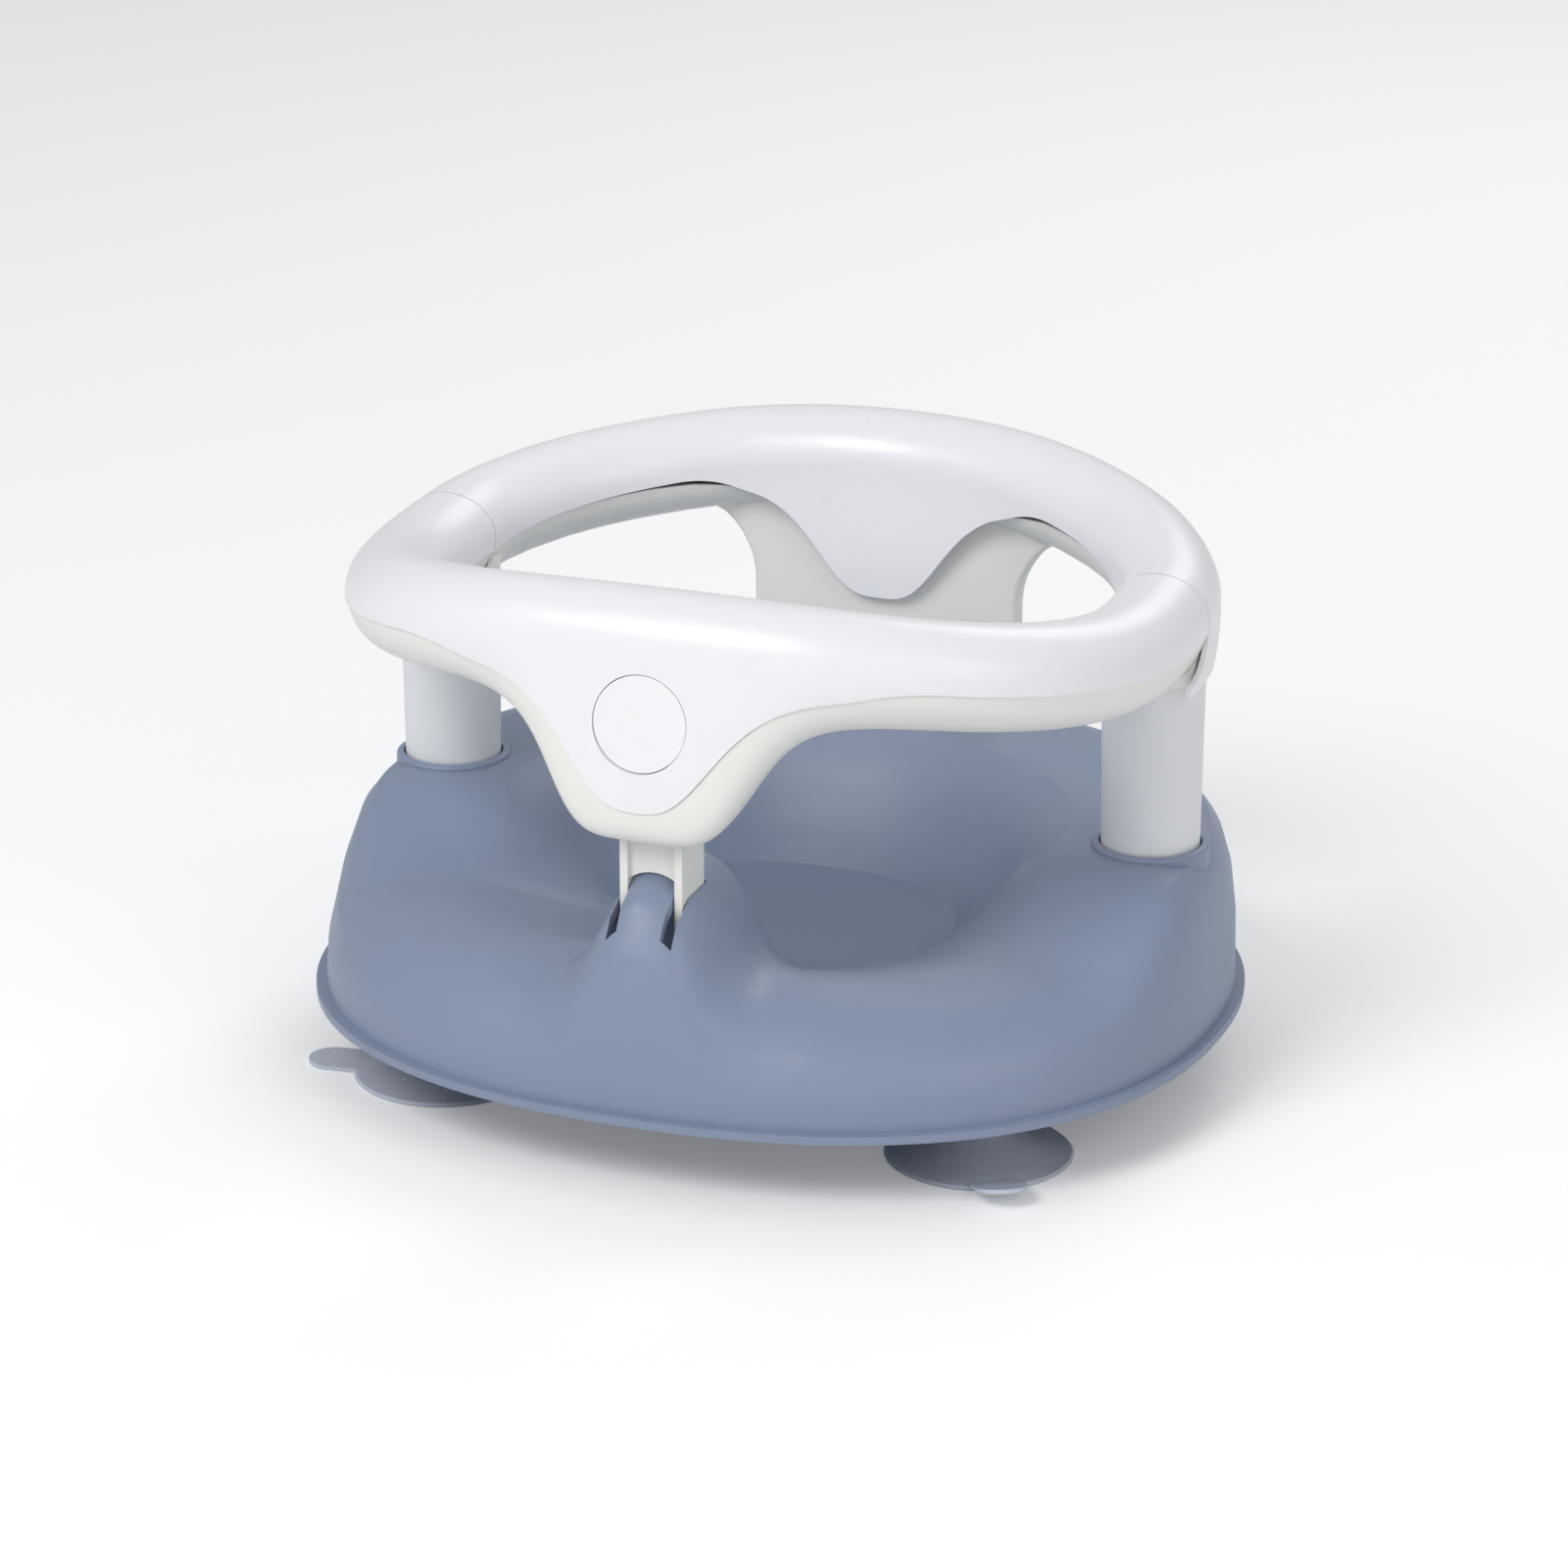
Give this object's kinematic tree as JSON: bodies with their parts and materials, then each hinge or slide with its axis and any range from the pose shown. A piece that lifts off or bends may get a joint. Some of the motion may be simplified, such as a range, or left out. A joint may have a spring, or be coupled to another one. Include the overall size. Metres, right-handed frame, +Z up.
{
  "type": "baby bath seat",
  "caption": "Bath seat with a moulded base on suction cups, two posts, a padded-look ring with a backrest, and a front bar that flips up once its button frees the latch leg.",
  "frame": {"origin": "on the surface it stands on, under the middle of the base", "axes": "+X to the seated baby's left hand as seen in the picture's right, +Y to the back, +Z up"},
  "size_m": [0.3492, 0.3132, 0.2161],
  "materials": {
    "blue_shell": "satin moulded polypropylene",
    "white_shell": "semi-gloss moulded ABS",
    "white_button": "semi-gloss moulded ABS, bare face",
    "ivory_shell": "satin moulded ABS",
    "post_grey": "satin moulded polypropylene",
    "cup_rubber": "soft translucent PVC",
    "steel": "stainless"
  },
  "bodies": {
    "base": {"base_shell": "blue_shell", "left_post": "post_grey", "right_post": "post_grey", "rear_ring_cover": "white_shell", "rear_ring_underside": "ivory_shell", "post_screws": "steel", "rear_ring_screws": "steel"},
    "front_bar": {"front_bar_cover": "white_shell", "front_bar_underside": "ivory_shell", "left_hinge_pin": "steel", "right_hinge_pin": "steel", "latch_pin": "steel", "return_spring": "steel", "bar_screws": "steel"},
    "release_button": {"release_button": "white_button"},
    "latch_leg": {"latch_leg": "ivory_shell"},
    "cup_front_left": {"suction_cup_front_left": "cup_rubber"},
    "cup_front_right": {"suction_cup_front_right": "cup_rubber"},
    "cup_rear_left": {"suction_cup_rear_left": "cup_rubber"},
    "cup_rear_right": {"suction_cup_rear_right": "cup_rubber"}
  },
  "joints": [
    {"name": "front_bar_flip", "type": "hinge", "parent": "base", "child": "front_bar", "pos_m": [0, -0.007, 0.189], "axis": [-1, 0, 0], "range_deg": [0, 80]},
    {"name": "release_button_press", "type": "slide", "parent": "front_bar", "child": "release_button", "axis": [0, 0.9945, -0.1045], "range_m": [0, 0.004], "stiffness_N_per_m": 250, "springref_m": -0.008},
    {"name": "latch_leg_rock", "type": "hinge", "parent": "front_bar", "child": "latch_leg", "pos_m": [0, -0.118, 0.147], "axis": [-1, 0, 0], "range_deg": [0, 9.3], "deforming": ["return_spring"]},
    {"name": "suction_cup_front_left_swivel", "type": "hinge", "parent": "base", "child": "cup_front_left", "pos_m": [-0.1064, -0.0745, 0.02], "axis": [0, 0, 1], "continuous": true},
    {"name": "suction_cup_front_right_swivel", "type": "hinge", "parent": "base", "child": "cup_front_right", "pos_m": [0.1064, -0.0745, 0.02], "axis": [0, 0, 1], "continuous": true},
    {"name": "suction_cup_rear_left_swivel", "type": "hinge", "parent": "base", "child": "cup_rear_left", "pos_m": [-0.102, 0.084, 0.02], "axis": [0, 0, 1], "continuous": true},
    {"name": "suction_cup_rear_right_swivel", "type": "hinge", "parent": "base", "child": "cup_rear_right", "pos_m": [0.102, 0.084, 0.02], "axis": [0, 0, 1], "continuous": true}
  ],
  "couplings": [
    {"joint": "latch_leg_rock", "follows": "release_button_press", "rad_per_m": 40}
  ]
}
